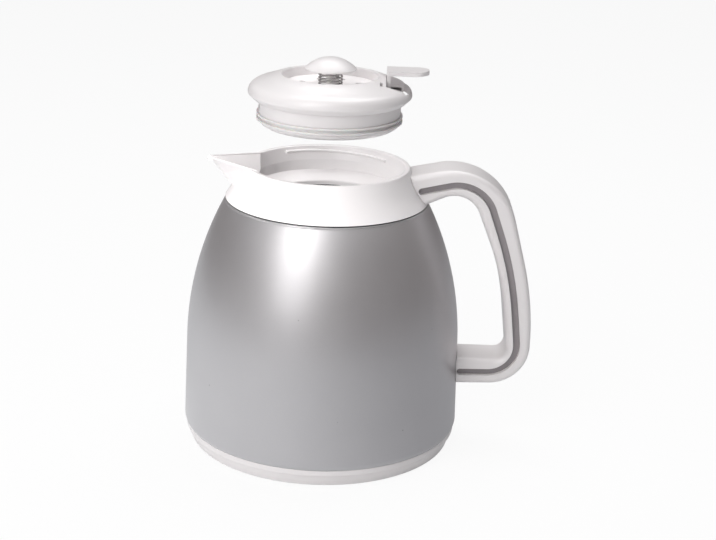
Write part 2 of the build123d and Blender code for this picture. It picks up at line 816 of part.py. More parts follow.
def stopper_base():
    floor_low = stopper_floor_z - stopper_floor
    inside = stopper_radius - stopper_wall
    flange_low = cover_foot_z + cover_lip_height
    groove_low = gasket_groove_z - gasket_groove_height
    body = turn(outline(
        (valve_hole_radius, stopper_floor_z),
        (valve_hole_radius, floor_low),
        (skirt_inner_radius, floor_low),
        (skirt_inner_radius, stopper_bottom_z),
        (stopper_bottom_radius, stopper_bottom_z, soft_round),
        (rib_radius - rib_step, rib_z - rib_fall),
        (rib_radius, rib_z, crisp_round),
        (gasket_body_radius, groove_low),
        (gasket_groove_radius, groove_low),
        (gasket_groove_radius, gasket_groove_z),
        (stopper_radius - stopper_draw, gasket_groove_z),
        (stopper_radius, flange_low),
        (stopper_flange_radius, flange_low),
        (stopper_flange_radius, flange_low + stopper_flange_thickness),
        (inside, flange_low + stopper_flange_thickness),
        (inside, stopper_floor_z),
    ))
    lug_reach = well_radius - moving_gap
    lug = block((skirt_inner_radius + stopper_wall, -lug_width / 2, lug_z - lug_height),
                (lug_reach, lug_width / 2, lug_z))
    body = body + Rot(0, 0, lug_angle) * (lug & ring(0, lug_reach, stopper_bottom_z, 0))
    slot_low = stopper_floor_z + stopper_floor / 2
    body = body - block((-stopper_flange_radius, -pour_slot_half_width, slot_low),
                        (stopper_wall - inside, pour_slot_half_width, slot_low + pour_slot_height))
    guide = ring(0, guide_radius, floor_low, stopper_floor_z + guide_height)
    for number in range(spoke_count):
        reach = valve_hole_radius + spoke_width / 2
        spoke = block((0, -spoke_width / 2, floor_low), (reach, spoke_width / 2, stopper_floor_z))
        guide = guide + Rot(0, 0, spoke_start + number * 360 / spoke_count) * spoke
    body = body + guide
    body = body - ring(0, stem_radius + running_clearance, stopper_bottom_z, 0)
    post_inner = arm_half_width + moving_gap
    post = Box(post_length, post_thickness, post_top_z - stopper_floor_z)
    for side in (-1, 1):
        post_y = side * (post_inner + post_thickness / 2)
        body = body + Pos(pin_x, post_y, (stopper_floor_z + post_top_z) / 2) * post
    pin_reach = post_inner + 2 * post_thickness
    return body - bar_along_y(pin_radius + press_clearance, pin_reach, pin_x, pin_z)


def stopper_gasket():
    """Sleeve in the stopper's groove, with a lip at its top and one at its foot."""
    inner = gasket_groove_radius + gasket_play
    high = gasket_groove_z - gasket_play
    low = gasket_groove_z - gasket_groove_height + gasket_play
    lip = well_radius - moving_gap
    return turn(outline(
        (inner, low),
        (lip, low, crisp_round),
        (lip, low + gasket_lip_height, crisp_round),
        (gasket_body_radius, low + gasket_lip_height, crisp_round),
        (gasket_body_radius, high - gasket_lip_height, crisp_round),
        (lip, high - gasket_lip_height, crisp_round),
        (lip, high, crisp_round),
        (inner, high),
    ))


# ---------------------------------------------------------------- valve
seal_top = stopper_floor_z - stopper_floor - valve_gap
disc_top = seal_top - valve_seal_proud
disc_low = disc_top - valve_disc_thickness


def valve_stem():
    shoulder_top = arm_top_z - arm_height - eye_drop
    groove_top = disc_low
    groove_low = disc_low - clip_thickness - 2 * clip_play
    return turn(outline(
        (0, disc_low - stem_tail),
        (stem_radius, disc_low - stem_tail, crisp_round),
        (stem_radius, groove_low),
        (clip_groove_radius, groove_low),
        (clip_groove_radius, groove_top),
        (stem_radius, groove_top),
        (stem_radius, shoulder_top - stem_shoulder_thickness),
        (stem_shoulder_radius, shoulder_top - stem_shoulder_thickness),
        (stem_shoulder_radius, shoulder_top),
        (stem_radius, shoulder_top),
        (stem_radius, stem_top_z),
        (0, stem_top_z),
    ))


def valve_seal_room(clearance):
    """Seal on the valve disc, or with a clearance the groove for it."""
    outer = valve_disc_radius - valve_seal_margin + clearance
    inner = valve_disc_radius - valve_seal_margin - valve_seal_width - clearance
    return ring(inner, outer, seal_top - valve_seal_height, seal_top)


def valve_disc():
    disc = ring(stem_radius + press_clearance, valve_disc_radius, disc_low, disc_top)
    return disc - valve_seal_room(press_clearance)


def valve_clip():
    high = disc_low - clip_play
    clip = ring(clip_groove_radius + clip_play, clip_radius, high - clip_thickness, high)
    gap = block((0, -clip_opening / 2, high - clip_thickness), (clip_radius, clip_opening / 2, high))
    return clip - gap


def push_cap():
    rim_top = cap_rim_z + cap_rim_height
    outer = TangentArc((0, cap_top_z), (cap_radius, rim_top), tangent=(1, 0))
    inner = TangentArc((0, cap_top_z - cap_shell), (cap_radius - cap_shell, rim_top), tangent=(1, 0))
    rim = Polyline(outer @ 1, (cap_radius, cap_rim_z), (cap_radius - cap_shell, cap_rim_z), inner @ 1)
    dome = turn(make_face([outer, inner, rim, Line(inner @ 0, outer @ 0)]))
    seat = ring(0, cap_seat_radius, cap_seat_z, cap_top_z - 1.6 * cap_shell)
    socket = ring(0, cap_socket_radius, cap_socket_z, cap_top_z - cap_shell)
    bore = ring(0, stem_radius + press_clearance, 0, stem_top_z + press_clearance)
    return dome + seat + socket - bore


def valve_spring():
    seat_z = -opening_depth - dish_fall
    low = seat_z + spring_wire_radius
    height = cap_seat_z - seat_z - 2 * spring_wire_radius
    path = Helix(pitch=height / spring_turns, height=height, radius=spring_radius)
    section = Plane(origin=path @ 0, z_dir=path % 0) * Circle(spring_wire_radius)
    return Pos(0, 0, low) * sweep(section, path=path, is_frenet=True)


# ---------------------------------------------------------------- lever
def lever_tab():
    """Thumb tab with a round, slightly upturned tip."""
    low = tab_top_z - tab_thickness
    side = outline(
        (tab_start_x, low),
        (tab_bend_x, low, tab_bend),
        (tab_end_x, low + tab_lift),
        (tab_end_x, tab_top_z + tab_lift),
        (tab_bend_x, tab_top_z, tab_bend),
        (tab_start_x, tab_top_z),
    )
    slab = side_layer(side, -tab_half_width, tab_half_width)
    tip_x = tab_end_x - tab_half_width
    plan = Pos((tab_start_x + tip_x) / 2, 0) * Rectangle(tip_x - tab_start_x, 2 * tab_half_width)
    plan = plan + Pos(tip_x, 0) * Circle(tab_half_width)
    return slab & extrude(plan, 2 * tab_top_z)


def lever():
    arm_low = arm_top_z - arm_height
    riser_x = slot_inner_x + moving_gap
    arm_end = riser_x + riser_thickness
    arm = block((pin_x, -arm_half_width, arm_low), (arm_end, arm_half_width, arm_top_z))
    barrel = bar_along_y(barrel_radius, arm_half_width, pin_x, pin_z)
    eye = ring(0, eye_radius, arm_low, arm_top_z)
    riser_top = tab_top_z - tab_thickness / 2
    riser = block((riser_x, -riser_half_width, arm_low), (arm_end, riser_half_width, riser_top))
    body = arm + barrel + eye + riser + lever_tab()
    body = body - ring(0, stem_radius + eye_clearance, arm_low, arm_top_z)
    return body - bar_along_y(pin_radius + running_clearance, 2 * arm_half_width, pin_x, pin_z)


def lever_pin():
    return bar_along_y(pin_radius, arm_half_width + moving_gap + post_thickness, pin_x, pin_z)


# ---------------------------------------------------------------- write every piece
save(outer_shell(), "outer_shell")
save(collar(), "collar")
save(collar_seal(), "collar_seal")
save(collar_screws(), "collar_screws")
save(handle(), "handle")
save(handle_inlay(-1), "handle_inlay_front")
save(handle_inlay(1), "handle_inlay_back")
save(handle_screw(), "handle_screw")
save(handle_plate(), "handle_plate")
save(flask_wall(0), "flask_outer")
save(flask_inner(), "flask_inner")
save(neck_gasket(), "neck_gasket")
save(base_ring(), "base_ring")
save(foot_ring(), "foot_ring")
save(base_cap(), "base_cap")
save(base_cushion(), "base_cushion")
save_lid(lid_cover(), "lid_cover")
save_lid(drip_dish(), "drip_dish")
save_lid(stopper_base(), "stopper_base")
save_lid(stopper_gasket(), "stopper_gasket")
save_lid(valve_stem(), "valve_stem")
save_lid(valve_disc(), "valve_disc")
save_lid(valve_seal_room(0), "valve_seal")
save_lid(valve_clip(), "valve_clip")
save_lid(push_cap(), "push_cap")
save_lid(valve_spring(), "valve_spring")
save_lid(lever(), "lever")
save_lid(lever_pin(), "lever_pin")
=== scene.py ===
# %% [markdown]
# A vacuum carafe with its lid lifted off, built around a imported CAD frame.
# The frame holds the true shapes: shell, collar with its spout, handle, flask, base and lid.
# This file gives them a camera, a pale studio and the finish that each material has.
# The frame is loaded first. No CAD mesh is touched, because every joint is built on those meshes.

import json
import math

import bpy
import numpy as np
from mathutils import Matrix, Vector


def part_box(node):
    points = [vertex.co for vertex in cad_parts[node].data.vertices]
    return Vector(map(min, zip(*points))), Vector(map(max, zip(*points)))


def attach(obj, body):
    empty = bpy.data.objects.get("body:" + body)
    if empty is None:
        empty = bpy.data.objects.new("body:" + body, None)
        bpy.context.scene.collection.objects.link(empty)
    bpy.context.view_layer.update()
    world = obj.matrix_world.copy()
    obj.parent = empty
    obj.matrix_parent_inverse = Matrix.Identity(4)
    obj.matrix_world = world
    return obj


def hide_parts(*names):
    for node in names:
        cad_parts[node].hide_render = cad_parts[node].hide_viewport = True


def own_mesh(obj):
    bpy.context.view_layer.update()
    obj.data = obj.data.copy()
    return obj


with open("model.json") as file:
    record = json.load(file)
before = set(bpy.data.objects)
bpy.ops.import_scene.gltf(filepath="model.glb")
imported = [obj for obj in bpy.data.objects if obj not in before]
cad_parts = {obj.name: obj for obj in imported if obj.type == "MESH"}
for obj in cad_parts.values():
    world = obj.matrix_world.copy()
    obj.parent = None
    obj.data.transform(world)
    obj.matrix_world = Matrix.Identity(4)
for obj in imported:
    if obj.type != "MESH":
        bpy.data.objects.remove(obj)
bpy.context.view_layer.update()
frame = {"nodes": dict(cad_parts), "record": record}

# %% [markdown]
# The camera comes first, because every later choice is judged through it. It looks at the
# carafe from a little above, so that the rim and the lid show as ellipses.
# A long lens keeps the sides of the body nearly parallel. The camera is placed from the
# point that it looks at, its distance and its height angle, then rolled by a small angle.
# A Track To constraint could aim it, but a matrix says the roll exactly.

# %% Camera
LOOK_AT = Vector((0.01828, 0.0, 0.09585))
DISTANCE = 0.836
HEIGHT_ANGLE = math.radians(18.9)
ROLL = math.radians(2.2)
LENS_MM = 76.66
SENSOR_MM = 36.0
NEAREST, FARTHEST = 0.01, 20.0


def aim(look_at, distance, height_angle, roll):
    """Camera matrix: its back axis points from the target to the lens, and the roll turns
    its right axis towards its up axis."""
    back = Vector((0.0, -math.cos(height_angle), math.sin(height_angle)))
    level = Vector((1.0, 0.0, 0.0))
    above = back.cross(level)
    right = level * math.cos(roll) + above * math.sin(roll)
    up = above * math.cos(roll) - level * math.sin(roll)
    turn = Matrix((right, up, back)).transposed().to_4x4()
    return Matrix.Translation(look_at + back * distance) @ turn


lens = bpy.data.cameras.new("studio_camera")
lens.lens = LENS_MM
lens.sensor_width = SENSOR_MM
lens.clip_start = NEAREST
lens.clip_end = FARTHEST
camera = bpy.data.objects.new("studio_camera", lens)
camera.matrix_world = aim(LOOK_AT, DISTANCE, HEIGHT_ANGLE, ROLL)
bpy.context.scene.collection.objects.link(camera)
bpy.context.scene.camera = camera
bpy.context.scene.view_settings.view_transform = "Standard"
print("camera at", [round(v, 4) for v in camera.matrix_world.translation])

# %% [markdown]
# Shader maths reads best as plain expressions, so two small classes come before any
# material. Number wraps a socket, and each operator on it adds one Math node.
# Nodes wraps a node tree, of a material or of the world, and its node method adds any
# other node: its type, its settings, then the values or links of its inputs.
# A Mix node has a set of inputs and outputs for each kind of data, all with the same names,
# so the ones for colour are picked by their number.

# %% Numbers and nodes
MIX_AMOUNT, MIX_FIRST, MIX_SECOND, MIX_RESULT = 0, 6, 7, 2


class Number:
    """A socket that carries one number, with operators that add Math nodes."""

    def __init__(self, nodes, socket):
        self.nodes = nodes
        self.socket = socket

    def math(self, operation, *others, clamp=False):
        """The result of a Math node whose first value is this number."""
        settings = {"operation": operation, "use_clamp": clamp}
        node = self.nodes.node("ShaderNodeMath", settings, dict(enumerate([self, *others])))
        return Number(self.nodes, node.outputs[0])

    def clamped(self):
        """This number, held between 0 and 1."""
        return self.math("ADD", 0.0, clamp=True)

    def __add__(self, other):
        return self.math("ADD", other)

    def __sub__(self, other):
        return self.math("SUBTRACT", other)

    def __rsub__(self, other):
        return (self * -1.0).math("ADD", other)

    def __mul__(self, other):
        return self.math("MULTIPLY", other)

    __radd__ = __add__
    __rmul__ = __mul__


class Nodes:
    """A node tree that is filled from expressions."""

    def __init__(self, tree):
        self.tree = tree

    def node(self, kind, settings=None, sockets=None):
        """Add one node: settings first, then the values or links of its inputs."""
        node = self.tree.nodes.new(kind)
        for name, value in (settings or {}).items():
            setattr(node, name, value)
        for name, value in (sockets or {}).items():
            if isinstance(value, Number):
                value = value.socket
            if isinstance(value, bpy.types.NodeSocket):
                self.tree.links.new(value, node.inputs[name])
            else:
                node.inputs[name].default_value = value
        return node

    def seen_by(self, *kinds):
        """1 for the kinds of ray that are named, such as Camera, and 0 for the rest."""
        rays = self.node("ShaderNodeLightPath")
        masks = [Number(self, rays.outputs[f"Is {kind} Ray"]) for kind in kinds]
        total = masks[0]
        for mask in masks[1:]:
            total = total.math("MAXIMUM", mask)
        return total

    def blend(self, amount, first, second):
        """Colour between two colours."""
        settings = {"data_type": "RGBA", "clamp_factor": True}
        inputs = {MIX_AMOUNT: amount, MIX_FIRST: first, MIX_SECOND: second}
        return self.node("ShaderNodeMix", settings, inputs).outputs[MIX_RESULT]

    def blend_shaders(self, amount, first, second):
        """Shader between two shaders."""
        return self.node("ShaderNodeMixShader", None, {0: amount, 1: first, 2: second}).outputs[0]


def grey(level, warmth=0.0):
    """A colour of about one level: warmth raises its red and lowers its blue by that share."""
    return (level * (1 + warmth), level, level * (1 - warmth), 1.0)


print("number and node helpers ready")

# %% [markdown]
# A finish is a material built round one Principled shader. Its patterns are noise on
# the object's own coordinates, in cells per metre, so that flakes, grain and clouds each
# keep their real size on every piece. Noise is centred on zero, which lets one
# pattern push a colour, a roughness and a height both ways without changing their mean:
# a colour is blended by MIDDLE plus each pattern times the weight that it pushes with.

# %% Finishes
MIDDLE = 0.5
SPECK_EDGE = 3.0


class Finish(Nodes):
    """A material built round one Principled shader."""

    def __init__(self, name, **constants):
        self.material = bpy.data.materials.new(name)
        self.material.use_nodes = True
        super().__init__(self.material.node_tree)
        self.shader = self.tree.nodes["Principled BSDF"]
        self.place = self.node("ShaderNodeTexCoord").outputs["Object"]
        for socket, value in constants.items():
            self.shader.inputs[socket.replace("_", " ")].default_value = value

    def stretched(self, scale):
        """The object's coordinates, stretched along the axes."""
        node = self.node("ShaderNodeMapping", None, {"Vector": self.place, "Scale": scale})
        return node.outputs["Vector"]

    def noise(self, scale, detail=2.0, where=None):
        """Soft noise about zero, from -0.5 to 0.5; scale is cells per metre."""
        inputs = {"Vector": where or self.place, "Scale": scale, "Detail": detail}
        node = self.node("ShaderNodeTexNoise", {"noise_dimensions": "3D"}, inputs)
        return Number(self, node.outputs["Fac"]) - MIDDLE

    def specks(self, scale, size):
        """1 inside rare small specks and 0 elsewhere; size is in cells of 1/scale metres."""
        inputs = {"Vector": self.place, "Scale": scale}
        node = self.node("ShaderNodeTexVoronoi", {"feature": "F1"}, inputs)
        inside = 1.0 - Number(self, node.outputs["Distance"]) * (1.0 / size)
        return (inside * SPECK_EDGE).clamped()

    def near_foot(self, reach):
        """1 on the plane that the object stands on, falling to 0 at reach metres above it."""
        node = self.node("ShaderNodeSeparateXYZ", None, {"Vector": self.place})
        return (1.0 - Number(self, node.outputs["Z"]) * (1.0 / reach)).clamped()

    def feed(self, socket, value):
        """Link a value or colour into the Principled shader."""
        value = value.socket if isinstance(value, Number) else value
        self.tree.links.new(value, self.shader.inputs[socket])

    def relief(self, height, depth):
        """Bump the surface by height, where a height of 1 stands depth metres proud."""
        inputs = {"Height": height, "Distance": depth}
        self.feed("Normal", self.node("ShaderNodeBump", None, inputs).outputs["Normal"])


def millimetres(cells_per_metre):
    """Size of one cell of a pattern, for the printed lines."""
    return round(1000.0 / cells_per_metre, 1)


FINISHES = {}
print("finish class ready")

# %% [markdown]
# The studio is a white table in a dim room under a large soft roof light. The camera sees
# plain white behind the object. Mirrors see the room: bright overhead, dim near the horizon.
# They see the table as a painted reflection, an emission painted lighter on the left and
# darker on the right. That is what gives lacquer its shape, since a metal shows its
# surroundings and hardly any light of its own.
# The room and the table's mirror image are both worked out from how far a direction points
# right, back and up, so one helper gives those three numbers to the world and to the table.

# %% Room
ROOF = (1.00, 1.00, 1.00, 1.0)
HORIZON = (0.225, 0.205, 0.200, 1.0)
# The table's painted reflection: painted light on its left, painted shade on its right.
TABLE_LEFT_PAINTED_LIGHT = (0.98, 0.99, 1.00, 1.0)
TABLE_RIGHT_PAINTED_SHADE = (0.48, 0.485, 0.50, 1.0)
WORLD_LIGHT = 0.20
COOL_WHITE = (0.95, 0.955, 1.0, 1.0)
ROOF_SLOPE, ROOF_START, ROOF_LEAN = 1.5, 0.5, 0.2


def towards(nodes, direction):
    """How far a direction points right, back and up, each from -1 to 1."""
    unit = nodes.node("ShaderNodeVectorMath", {"operation": "NORMALIZE"}, {0: direction})
    parts = nodes.node("ShaderNodeSeparateXYZ", None, {"Vector": unit.outputs[0]})
    return [Number(nodes, parts.outputs[axis]) for axis in "XYZ"]


def background(nodes, colour, strength):
    """Light of one colour from far away."""
    inputs = {"Color": colour, "Strength": strength}
    return nodes.node("ShaderNodeBackground", None, inputs).outputs[0]


def studio_world():
    """White to the camera, the room to mirrors, and even soft light to all else.
    The room is ROOF where ROOF_SLOPE * up - ROOF_START - ROOF_LEAN * right reaches 1."""
    world = bpy.data.worlds.new("studio_world")
    world.use_nodes = True
    world.node_tree.nodes.clear()
    nodes = Nodes(world.node_tree)
    direction = nodes.node("ShaderNodeTexCoord").outputs["Generated"]
    right, _, up = towards(nodes, direction)
    overhead = (up * ROOF_SLOPE - ROOF_START - right * ROOF_LEAN).clamped()
    room = background(nodes, nodes.blend(overhead, HORIZON, ROOF), 1.0)
    light = background(nodes, COOL_WHITE, WORLD_LIGHT)
    white = background(nodes, grey(1.0), 1.0)
    unseen = nodes.blend_shaders(nodes.seen_by("Glossy"), light, room)
    surface = nodes.blend_shaders(nodes.seen_by("Camera", "Transmission"), unseen, white)
    nodes.node("ShaderNodeOutputWorld", None, {"Surface": surface})
    return world


bpy.context.scene.world = studio_world()
print("world", bpy.context.scene.world.name, "light", WORLD_LIGHT)

# %% [markdown]
# The table is one flat white sheet, a fifth of a millimetre under the foot. Most of what the
# camera sees of it is plain white, and the rest is lit paper, which keeps a soft shadow.
# Mirrors see a painted reflection on it instead of the lit paper.
# A curved backdrop would do as well, but with a white world there is no edge to hide.

# %% Table
TABLE_HALF = 4.0
TABLE_DROP = 0.0002
PAPER_LEVEL = 0.93
PLAIN_SHARE = 0.92
# Weights of the painted shade in the table's mirror image, to the right and at the back.
DIM_RIGHT, DIM_BACK = 0.55, 0.45
FADE_SLOPE, FADE_START = 1.6, 0.72


def table_sheet():
    """A flat square just under the foot."""
    corners = [(-TABLE_HALF, -TABLE_HALF), (TABLE_HALF, -TABLE_HALF),
               (TABLE_HALF, TABLE_HALF), (-TABLE_HALF, TABLE_HALF)]
    mesh = bpy.data.meshes.new("table")
    mesh.from_pydata([(x, y, -TABLE_DROP) for x, y in corners], [], [(0, 1, 2, 3)])
    sheet = bpy.data.objects.new("table", mesh)
    bpy.context.scene.collection.objects.link(sheet)
    return sheet


def table_paper():
    """White paper, which mirrors see as a painted reflection: an emission painted light on the
    left, painted shade on the right and at the back, and the room's horizon beyond FADE_START /
    FADE_SLOPE metres."""
    matt = {"Base_Color": grey(PAPER_LEVEL), "Roughness": 0.9, "Specular_IOR_Level": 0.1}
    paper = Finish("studio_paper", **matt)
    white = paper.node("ShaderNodeEmission", None, {"Color": grey(1.0)}).outputs[0]
    right, back, _ = towards(paper, paper.place)
    # Painted shade: the table's mirror image darkens to the right and at the back.
    painted_shade_amount = right * DIM_RIGHT + back.clamped() * DIM_BACK + MIDDLE
    far = paper.node("ShaderNodeVectorMath", {"operation": "LENGTH"}, {0: paper.place})
    beyond = (Number(paper, far.outputs["Value"]) * FADE_SLOPE - FADE_START).clamped()
    colour = paper.blend(beyond, paper.blend(painted_shade_amount, TABLE_LEFT_PAINTED_LIGHT, TABLE_RIGHT_PAINTED_SHADE), HORIZON)
    # The painted reflection: an emission that only mirrors see.
    mirrored = paper.node("ShaderNodeEmission", None, {"Color": colour}).outputs[0]
    plain = paper.seen_by("Camera", "Transmission") * PLAIN_SHARE
    lit = paper.blend_shaders(plain, paper.shader.outputs[0], white)
    surface = paper.blend_shaders(paper.seen_by("Glossy"), lit, mirrored)
    paper.tree.links.new(surface, paper.tree.nodes["Material Output"].inputs["Surface"])
    return paper.material


table = table_sheet()
table.data.materials.append(table_paper())
print("table", TABLE_HALF * 2, "m wide")

# %% [markdown]
# Rectangular soft lamps do the modelling. The key is a tall window at the front left, which
# shades the round forms. A broad lamp above and behind lifts the top faces. Two fills, from
# the front and from the left, soften the shadows on the white plastic, and mirrors don't see
# them, as if each hung behind a baffle. The sheen card is the other way round: only gloss
# shows it, and it lays the bright band on the shell's shoulder. The mouth fill lights what
# the lid would leave in shadow: it is linked to the few nodes in and over the mouth, and
# nothing blocks it. Area lamps are used, because their size sets how soft an edge is.

# %% Lamps
AIM_POINT = Vector((0.0, 0.0, 0.11))
PLAIN_WHITE = (1.0, 1.0, 1.0)
KEY_WHITE = (1.0, 0.985, 0.97)
FRONT_WHITE = (1.0, 0.985, 0.975)
SKY_WHITE = (0.97, 0.98, 1.0)
IN_THE_MOUTH = ("collar", "neck_gasket", "flask_inner", "drip_dish")


def window(name, place, size, watts, colour=PLAIN_WHITE, mirrored=True):
    """A rectangular soft lamp that faces the carafe, and that mirrors may or may not see."""
    lamp = bpy.data.lights.new(name, "AREA")
    lamp.shape = "RECTANGLE"
    lamp.size, lamp.size_y = size
    lamp.energy = watts
    lamp.color = colour
    holder = bpy.data.objects.new(name, lamp)
    away = (Vector(place) - AIM_POINT).normalized()
    turn = away.to_track_quat("Z", "Y").to_matrix().to_4x4()
    holder.matrix_world = Matrix.Translation(place) @ turn
    holder.visible_glossy = mirrored
    bpy.context.scene.collection.objects.link(holder)
    print(name, watts, "W at", place)
    return holder


def light_only(holder, names):
    """Light the named nodes alone, without shadows."""
    lit = bpy.data.collections.new(holder.name + "_lights")
    for name in names:
        lit.objects.link(frame["nodes"][name])
    holder.light_linking.receiver_collection = lit
    holder.data.use_shadow = False


# %% Place the lamps
window("key_window", (-0.34, -0.72, 0.92), (0.62, 0.90), 4.7, KEY_WHITE)
window("front_fill", (-0.42, -0.90, 0.50), (0.60, 0.30), 2.3, FRONT_WHITE, mirrored=False)
mouth_fill = window("mouth_fill", (-0.60, -0.56, 0.86), (0.50, 0.40), 6.8, mirrored=False)
light_only(mouth_fill, IN_THE_MOUTH)
sheen_card = window("sheen_card", (-0.477, -0.896, 0.65), (0.50, 1.00), 3.2)
sheen_card.visible_diffuse = False
window("left_fill", (-1.05, -0.62, 0.42), (0.60, 0.60), 2.4, SKY_WHITE, mirrored=False)
window("top_window", (0.10, 0.35, 1.15), (0.90, 0.60), 6.4)

# %% [markdown]
# Silver lacquer on drawn sheet: aluminium flakes lie in a clear binder, so the sheen is
# broad, with a thin sharper gloss on top. A high metallic share gives the broad sheen and
# a weak coat gives the gloss. Flakes are a very fine noise in colour and height, a slower
# noise is the slight waviness that spraying leaves, and a few specks are dust in the coat.

# %% Shell lacquer
FLAKES, WAVES, CLOUDS = 5200.0, 420.0, 38.0
DUST, DUST_SIZE, DUST_COLOUR = 60.0, 0.028, grey(0.16)
SILVER = ((0.530, 0.522, 0.538, 1.0), (0.630, 0.620, 0.632, 1.0))
LACQUER_ROUGHNESS, LACQUER_RELIEF = 0.44, 0.000012


def shell_lacquer():
    """Silver between two levels, with flakes, waves, clouds and a few specks of dust."""
    constants = {"Metallic": 0.85, "Coat_Weight": 0.30, "Coat_Roughness": 0.18, "IOR": 1.45}
    lacquer = Finish("shell_lacquer", **constants)
    flakes = lacquer.noise(FLAKES, 1.0)
    cloud = lacquer.noise(CLOUDS, 3.0)
    wave = lacquer.noise(WAVES, 2.0)
    dust = lacquer.specks(DUST, DUST_SIZE)
    silver = lacquer.blend(flakes * 0.9 + cloud * 0.4 + MIDDLE, *SILVER)
    lacquer.feed("Base Color", lacquer.blend(dust * 0.45, silver, DUST_COLOUR))
    lacquer.feed("Roughness", flakes * 0.08 + cloud * 0.05 + LACQUER_ROUGHNESS)
    lacquer.relief(flakes * 0.5 + wave, LACQUER_RELIEF)
    return lacquer.material


FINISHES["shell_lacquer"] = shell_lacquer()
print("shell lacquer: flakes of", millimetres(FLAKES), "mm, waves of", millimetres(WAVES), "mm")

# %% [markdown]
# White moulded plastic: a soft gloss, a trace of warm pigment, and the faint flow clouds
# and fine grain that the mould leaves. Handling adds hairline scuffs to the gloss only,
# so they go into the roughness and not into the colour. The base is the same plastic with
# a duller mould, and its lowest edge is rubbed grey where it slides on the table.

# %% White plastics
FLOW, SCUFFS, MOULD_GRAIN = 24.0, 90.0, 2600.0
SCUFF_STRETCH = (1.0, 1.0, 9.0)
SHADE_TINT = (0.970, 0.938, 0.942)
CLEAR_TINT = (1.0, 0.970, 0.968)
RUBBED_HEIGHT, RUBBED_COLOUR = 0.004, grey(0.45)
MOULD_RELIEF = 0.000010
UPPER_PLASTIC = {"level": 0.85, "roughness": 0.32}
BASE_PLASTIC = {"level": 0.87, "roughness": 0.42}


def tinted(level, tint):
    """A level times a tint for each of red, green and blue."""
    return (*(level * share for share in tint), 1.0)


def white_plastic(name, level, roughness):
    """White with flow clouds, mould grain, scuffs in the gloss and a rubbed lowest edge."""
    plastic = Finish(name, IOR=1.49, Coat_Weight=0.12, Coat_Roughness=0.1)
    flow = plastic.noise(FLOW, 3.0)
    grain = plastic.noise(MOULD_GRAIN, 2.0)
    scuffs = plastic.noise(SCUFFS, 4.0, plastic.stretched(SCUFF_STRETCH))
    rubbed = plastic.near_foot(RUBBED_HEIGHT) * (scuffs + MIDDLE)
    shade, clear = tinted(level, SHADE_TINT), tinted(level, CLEAR_TINT)
    pigment = plastic.blend(flow * 0.7 + MIDDLE, shade, clear)
    plastic.feed("Base Color", plastic.blend(rubbed * 0.35, pigment, RUBBED_COLOUR))
    plastic.feed("Roughness", scuffs * 0.12 + grain * 0.05 + rubbed * 0.3 + roughness)
    plastic.relief(grain, MOULD_RELIEF)
    return plastic.material


FINISHES["plastic_white"] = white_plastic("white_plastic", **UPPER_PLASTIC)
FINISHES["base_plastic"] = white_plastic("base_plastic", **BASE_PLASTIC)
print("white plastics: upper parts", UPPER_PLASTIC["level"], "base", BASE_PLASTIC["level"])

# %% [markdown]
# The strip let into the handle is a matt, warm grey plastic with a fine tooled grain. It is
# rough enough that it shows no highlight, so its look is the grain and a slow cloud
# in the pigment. A soft-touch coat could be made with sheen, but this one is bare.

# %% Inlay
TOOLED_GRAIN, INLAY_CLOUDS = 1800.0, 60.0
INLAY_GREYS = ((0.260, 0.240, 0.248, 1.0), (0.360, 0.336, 0.346, 1.0))
INLAY_ROUGHNESS, INLAY_RELIEF = 0.5, 0.00003


def inlay_grey():
    """Warm grey between two levels, with the grain in colour, gloss and height."""
    strip = Finish("inlay_grey", IOR=1.46)
    grain = strip.noise(TOOLED_GRAIN, 3.0)
    cloud = strip.noise(INLAY_CLOUDS, 2.0)
    strip.feed("Base Color", strip.blend(cloud + grain * 0.4 + MIDDLE, *INLAY_GREYS))
    strip.feed("Roughness", grain * 0.12 + INLAY_ROUGHNESS)
    strip.relief(grain, INLAY_RELIEF)
    return strip.material


FINISHES["inlay_grey"] = inlay_grey()
print("inlay: grain of", millimetres(TOOLED_GRAIN), "mm")

# %% [markdown]
# The flask is blown glass, silvered on its far side. It could be real glass over a mirror,
# but the wall is thin and the two read as one surface: a full metal with a clear coat.
# Blown glass is never quite even, so a slow ripple bends the reflections.

# %% Silvered glass
GLASS_RIPPLE, GLASS_HAZE = 30.0, 160.0
GLASS_SILVER = ((0.80, 0.81, 0.83, 1.0), (0.88, 0.89, 0.90, 1.0))
GLASS_ROUGHNESS, GLASS_RELIEF = 0.07, 0.00025


def silvered_glass():
    """Silver under a clear coat: haze changes its colour and gloss, a ripple its height."""
    glass = Finish("silvered_glass", Metallic=1.0, Coat_Weight=1.0, Coat_Roughness=0.02)
    ripple = glass.noise(GLASS_RIPPLE, 2.0)
    haze = glass.noise(GLASS_HAZE, 3.0)
    glass.feed("Base Color", glass.blend(haze + MIDDLE, *GLASS_SILVER))
    glass.feed("Roughness", haze * 0.06 + GLASS_ROUGHNESS)
    glass.relief(ripple, GLASS_RELIEF)
    return glass.material


FINISHES["silvered_glass"] = silvered_glass()
print("silvered glass: ripple of", millimetres(GLASS_RIPPLE), "mm")

# %% [markdown]
# The stopper's gasket is pale silicone. A little light goes into it and comes out
# nearby, which softens its lips, so the shader has a small subsurface share over two
# millimetres. The surface is almost matt, with the grain of its mould.

# %% Silicone
SILICONE_GRAIN, SILICONE_CLOUDS = 1500.0, 70.0
SILICONE_PALES = ((0.76, 0.745, 0.74, 1.0), (0.84, 0.83, 0.82, 1.0))
SILICONE_ROUGHNESS, SILICONE_RELIEF = 0.46, 0.00002
SILICONE_DEPTH = 0.002


